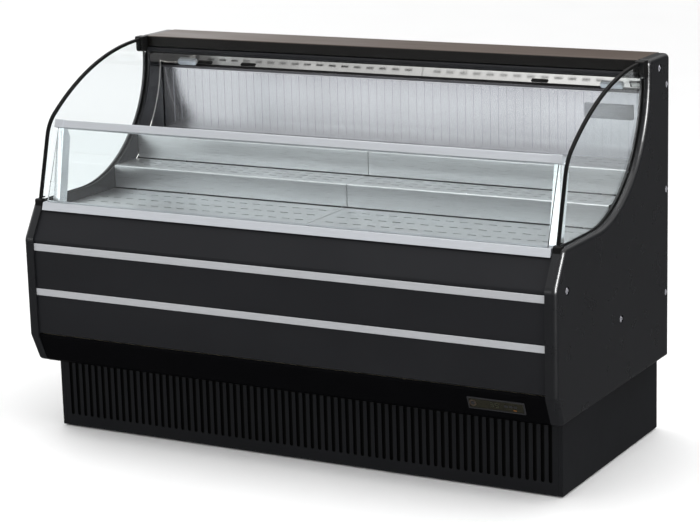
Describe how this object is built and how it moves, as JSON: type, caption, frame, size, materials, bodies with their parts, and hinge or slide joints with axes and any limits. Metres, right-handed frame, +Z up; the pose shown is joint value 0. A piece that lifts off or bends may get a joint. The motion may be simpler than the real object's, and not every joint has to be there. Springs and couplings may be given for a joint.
{
  "type": "refrigerated deli case",
  "caption": "Low open-front refrigerated deli display case with stepped pans, curved side glass, leaning front glass with aluminium rails, and a slotted base.",
  "frame": {"origin": "on the floor, under the middle of the case's overall box", "axes": "+X along the case, to the right when facing its front; +Y to the back; +Z up"},
  "size_m": [1.52, 0.722, 0.994],
  "materials": {
    "panel_black": "satin",
    "end_black": "satin",
    "fascia_black": "satin",
    "grille_black": "satin",
    "canopy_bronze": "satin",
    "liner_black": "satin",
    "honeycomb_black": "matte",
    "rubber_black": "matte",
    "galvanised": "satin",
    "frame_steel": "satin",
    "stainless": "satin",
    "rear_wall_steel": "satin",
    "polished": "polished",
    "rail_aluminium": "satin",
    "post_silver": "satin",
    "stripe_silver": "satin",
    "clear_glass": "gloss",
    "foam": "matte",
    "bezel_grey": "satin",
    "window_tint": "gloss",
    "button_white": "satin",
    "compressor_black": "satin",
    "coil_fins": "satin",
    "copper": "satin",
    "fan_plastic": "satin",
    "lamp_channel": "satin",
    "lamp_diffuser": "satin",
    "screw_steel": "satin",
    "foot_rubber": "matte"
  },
  "bodies": {
    "cabinet": {"front_panel": "panel_black", "canopy_lip": "panel_black", "end_panel_left": "end_black", "end_panel_right": "end_black", "lower_fascia": "fascia_black", "return_air_grille": "grille_black", "base_side_left": "grille_black", "base_side_right": "grille_black", "canopy_top": "canopy_bronze", "end_liners": "liner_black", "discharge_honeycomb": "honeycomb_black", "switch_body": "honeycomb_black", "glass_clamps": "honeycomb_black", "glass_channels": "rubber_black", "glass_edge_trims": "rubber_black", "rear_panel": "galvanised", "rear_grille": "galvanised", "cabinet_floor": "galvanised", "condensate_pan": "galvanised", "condenser_shroud": "galvanised", "base_frame": "frame_steel", "tub_liner": "stainless", "step_supports": "stainless", "rear_duct_panel": "rear_wall_steel", "evaporator_fan_plate": "rear_wall_steel", "reflector": "polished", "lower_rail": "rail_aluminium", "upper_rail": "rail_aluminium", "rail_end_fittings": "rail_aluminium", "glass_posts": "post_silver", "trim_strip_upper": "stripe_silver", "trim_strip_lower": "stripe_silver", "front_glass": "clear_glass", "side_glass_left": "clear_glass", "side_glass_right": "clear_glass", "foam_insulation": "foam", "controller_bezel": "bezel_grey", "controller_body": "bezel_grey", "controller_window": "window_tint", "compressor": "compressor_black", "fan_motors": "compressor_black", "condenser_coil": "coil_fins", "evaporator_coil": "coil_fins", "refrigerant_pipes": "copper", "lamp_housing": "lamp_channel", "lamp_lens": "lamp_diffuser", "screws": "screw_steel", "levelling_feet": "foot_rubber"},
    "condenser_fan": {"condenser_fan_blade": "fan_plastic"},
    "evaporator_fan_left": {"evaporator_fan_blade_left": "fan_plastic"},
    "evaporator_fan_right": {"evaporator_fan_blade_right": "fan_plastic"},
    "kick_grille": {"kick_grille": "grille_black"},
    "set_button": {"set_button": "bezel_grey"},
    "lamp_rocker": {"lamp_switch": "button_white"},
    "deck_pan_left": {"deck_pan_left": "stainless"},
    "deck_pan_right": {"deck_pan_right": "stainless"},
    "middle_step_left": {"middle_step_left": "stainless"},
    "middle_step_right": {"middle_step_right": "stainless"},
    "top_step_left": {"top_step_left": "stainless"},
    "top_step_right": {"top_step_right": "stainless"}
  },
  "joints": [
    {"name": "condenser_fan_spin", "type": "hinge", "parent": "cabinet", "child": "condenser_fan", "pos_m": [0.35, -0.144, 0.104], "axis": [0, 1, 0], "continuous": true},
    {"name": "evaporator_fan_left_spin", "type": "hinge", "parent": "cabinet", "child": "evaporator_fan_left", "pos_m": [-0.33, 0.074, 0.4], "axis": [0, 1, 0], "continuous": true},
    {"name": "evaporator_fan_right_spin", "type": "hinge", "parent": "cabinet", "child": "evaporator_fan_right", "pos_m": [0.33, 0.074, 0.4], "axis": [0, 1, 0], "continuous": true},
    {"name": "kick_grille_pull", "type": "slide", "parent": "cabinet", "child": "kick_grille", "axis": [0, -1, 0], "range_m": [0, 0.15]},
    {"name": "set_button_press", "type": "slide", "parent": "cabinet", "child": "set_button", "axis": [0, 0.9247, 0.3807], "range_m": [0, 0.0015], "stiffness_N_per_m": 400, "springref_m": -0.001},
    {"name": "lamp_rocker_tip", "type": "hinge", "parent": "cabinet", "child": "lamp_rocker", "pos_m": [0.7, 0.2687, 0.92333], "axis": [0, 0.5557, -0.8314], "range_deg": [0, 12]},
    {"name": "deck_pan_left_lift", "type": "slide", "parent": "cabinet", "child": "deck_pan_left", "axis": [0, 0, 1], "range_m": [0, 0.09]},
    {"name": "deck_pan_right_lift", "type": "slide", "parent": "cabinet", "child": "deck_pan_right", "axis": [0, 0, 1], "range_m": [0, 0.09]},
    {"name": "middle_step_left_lift", "type": "slide", "parent": "cabinet", "child": "middle_step_left", "axis": [0, 0, 1], "range_m": [0, 0.12]},
    {"name": "middle_step_right_lift", "type": "slide", "parent": "cabinet", "child": "middle_step_right", "axis": [0, 0, 1], "range_m": [0, 0.12]},
    {"name": "top_step_left_lift", "type": "slide", "parent": "cabinet", "child": "top_step_left", "axis": [0, 0, 1], "range_m": [0, 0.12]},
    {"name": "top_step_right_lift", "type": "slide", "parent": "cabinet", "child": "top_step_right", "axis": [0, 0, 1], "range_m": [0, 0.12]}
  ]
}
